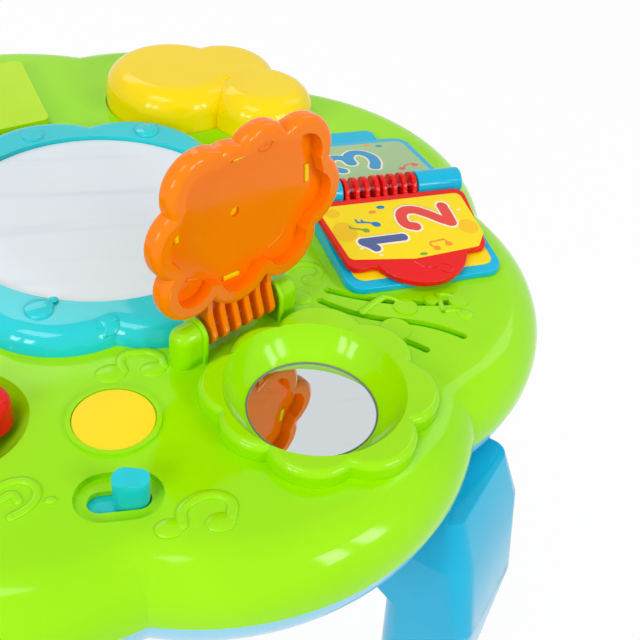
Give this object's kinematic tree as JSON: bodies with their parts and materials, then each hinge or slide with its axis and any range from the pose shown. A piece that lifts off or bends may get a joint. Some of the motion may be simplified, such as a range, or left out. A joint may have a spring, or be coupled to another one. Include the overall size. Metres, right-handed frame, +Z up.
{
  "type": "activity table",
  "caption": "Round petal-edged musical activity table on four legs, with a drawing board, a hinged mirror lid, a page to turn, keys, a drum, a spinner, a roller and a sliding switch.",
  "frame": {"origin": "centre of the table on the floor", "axes": "+Z up, +Y to the back, +X towards the number book"},
  "size_m": [0.4556, 0.4556, 0.4075],
  "materials": {
    "green_plastic": "glossy moulded plastic",
    "pale_blue_plastic": "glossy moulded plastic",
    "blue_plastic": "glossy moulded plastic",
    "aqua_plastic": "glossy moulded plastic",
    "orange_plastic": "glossy moulded plastic",
    "yellow_plastic": "glossy moulded plastic",
    "lime_plastic": "glossy moulded plastic",
    "red_plastic": "glossy moulded plastic",
    "black_plastic": "matte",
    "inner_plastic": "matte",
    "board_white": "semi-gloss film",
    "yellow_label": "printed film",
    "green_label": "printed film",
    "board_green": "solder mask",
    "battery": "satin sleeve",
    "steel": "plated",
    "rubber": "matte",
    "mirror": "polished"
  },
  "bodies": {
    "table": {"top_shell": "green_plastic", "bottom_shell": "pale_blue_plastic", "leg_front_right": "blue_plastic", "leg_back_right": "blue_plastic", "leg_back_left": "blue_plastic", "leg_front_left": "blue_plastic", "foot_pads": "rubber", "board_frame": "aqua_plastic", "writing_board": "board_white", "board_backing": "steel", "mirror_frame": "green_plastic", "mirror": "mirror", "hinge_posts": "green_plastic", "lid_pin": "steel", "book_tray": "blue_plastic", "tray_label_front": "yellow_label", "tray_label_back": "green_label", "book_spine": "blue_plastic", "book_pin": "steel", "badge": "yellow_label", "slide_switch": "black_plastic", "key_frame": "inner_plastic", "key_pins": "steel", "key_contact_strip": "rubber", "drum_base": "inner_plastic", "drum_spring": "steel", "roller_axle": "steel", "roller_cradle": "inner_plastic", "speaker": "black_plastic", "circuit_board": "board_green", "drum_light": "board_green", "battery_box": "inner_plastic", "batteries": "battery", "battery_door": "pale_blue_plastic", "door_screw": "steel", "shell_screws": "steel"},
    "lid_body": {"lid": "orange_plastic", "lid_face": "yellow_plastic"},
    "page_body": {"book_page": "red_plastic", "page_label_front": "yellow_label", "page_label_back": "yellow_label"},
    "knob_body": {"switch_knob": "aqua_plastic"},
    "spinner_body": {"red_spinner": "red_plastic", "spinner_shaft": "steel", "spinner_retainer": "inner_plastic"},
    "lime_key_body": {"key_lime": "lime_plastic"},
    "red_key_body": {"key_red": "red_plastic"},
    "yellow_key_body": {"key_yellow": "yellow_plastic"},
    "blue_key_body": {"key_blue": "blue_plastic"},
    "drum_body": {"drum": "yellow_plastic"},
    "roller_body": {"roller": "red_plastic"}
  },
  "joints": [
    {"name": "lid_hinge", "type": "hinge", "parent": "table", "child": "lid_body", "pos_m": [0.054, -0.09353, 0.313], "axis": [0.866, 0.5, 0], "range_deg": [0, 91]},
    {"name": "page_turn", "type": "hinge", "parent": "table", "child": "page_body", "pos_m": [0.158, 0, 0.315], "axis": [-0.9962, -0.0872, 0], "range_deg": [0, 194]},
    {"name": "switch_slide", "type": "slide", "parent": "table", "child": "knob_body", "axis": [-0.9994, 0.0349, 0], "range_m": [0, 0.0094]},
    {"name": "spinner_spin", "type": "hinge", "parent": "table", "child": "spinner_body", "pos_m": [-0.06788, -0.13039, 0.3], "axis": [0, 0, 1], "continuous": true},
    {"name": "lime_key_press", "type": "hinge", "parent": "table", "child": "lime_key_body", "pos_m": [-0.0405, 0.1055, 0.288], "axis": [-0.9336, -0.3584, 0], "range_deg": [0, 3.5], "stiffness_Nm_per_rad": 0.14, "springref_deg": -5.73},
    {"name": "red_key_press", "type": "hinge", "parent": "table", "child": "red_key_body", "pos_m": [-0.07264, 0.08656, 0.288], "axis": [-0.766, -0.6428, 0], "range_deg": [0, 3.5], "stiffness_Nm_per_rad": 0.14, "springref_deg": -5.73},
    {"name": "yellow_key_press", "type": "hinge", "parent": "table", "child": "yellow_key_body", "pos_m": [-0.09686, 0.0582, 0.288], "axis": [-0.515, -0.8572, 0], "range_deg": [0, 3.5], "stiffness_Nm_per_rad": 0.14, "springref_deg": -5.73},
    {"name": "blue_key_press", "type": "hinge", "parent": "table", "child": "blue_key_body", "pos_m": [-0.11053, 0.02349, 0.288], "axis": [-0.2079, -0.9781, 0], "range_deg": [0, 3.5], "stiffness_Nm_per_rad": 0.14, "springref_deg": -5.73},
    {"name": "drum_press", "type": "slide", "parent": "table", "child": "drum_body", "axis": [0, 0, -1], "range_m": [0, 0.003], "stiffness_N_per_m": 450, "springref_m": -0.004, "deforming": ["drum_spring"]},
    {"name": "roller_spin", "type": "hinge", "parent": "table", "child": "roller_body", "pos_m": [-0.14544, -0.06174, 0.291], "axis": [0.3907, -0.9205, 0], "continuous": true}
  ]
}
